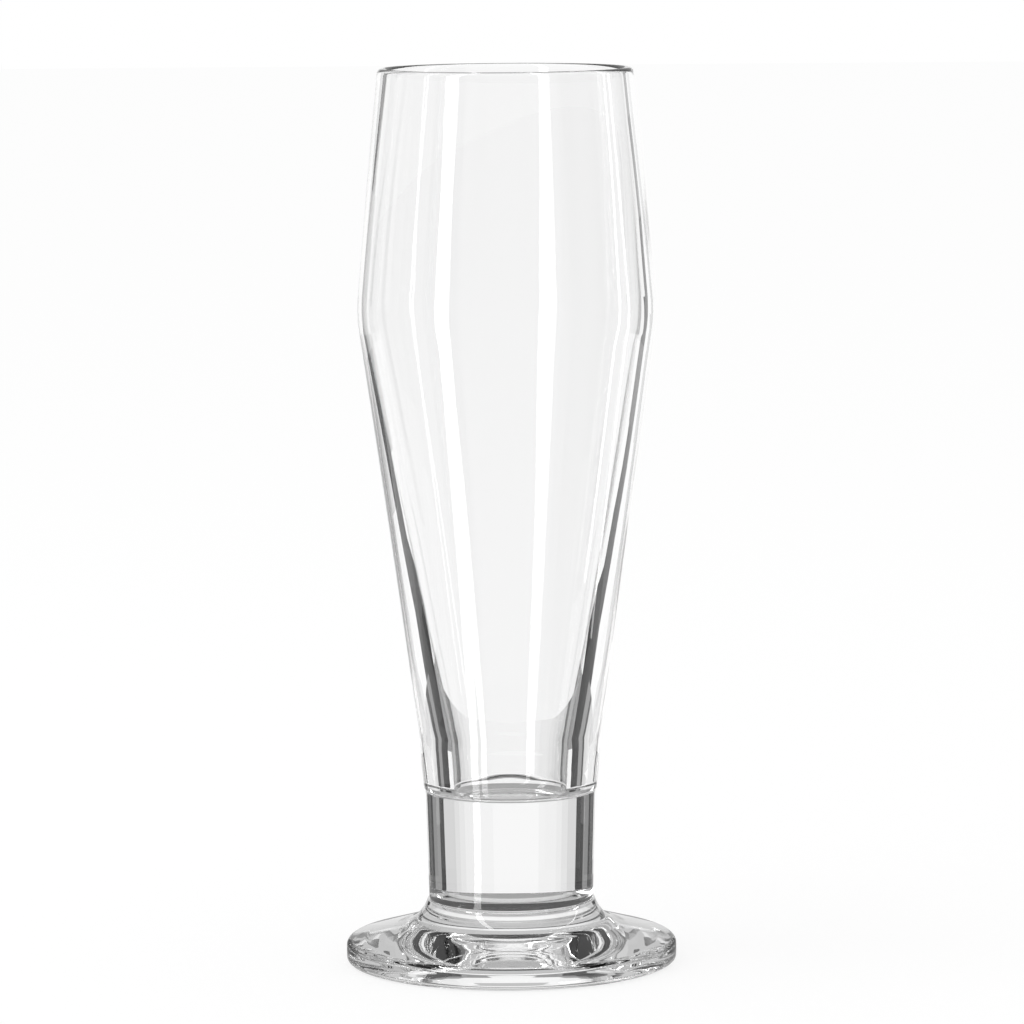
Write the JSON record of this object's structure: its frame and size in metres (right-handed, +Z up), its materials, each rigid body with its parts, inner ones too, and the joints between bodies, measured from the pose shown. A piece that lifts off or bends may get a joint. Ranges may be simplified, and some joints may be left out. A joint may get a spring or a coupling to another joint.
{
  "type": "pilsner glass",
  "caption": "Tall footed pilsner glass: a tapering bowl, widest below the rim, on a short solid stem and a round foot.",
  "frame": {"origin": "centre of the foot's bearing ring, on the glass's axis, at the level that it stands on", "axes": "+Z up the axis, from the foot to the rim; X and Y level, and alike on a turned part"},
  "size_m": [0.0834, 0.0834, 0.225],
  "materials": {
    "clear_glass": "clear colourless soda-lime glass, fire-polished"
  },
  "bodies": {
    "root": {"bowl": "clear_glass", "stem": "clear_glass", "foot": "clear_glass"}
  },
  "joints": []
}
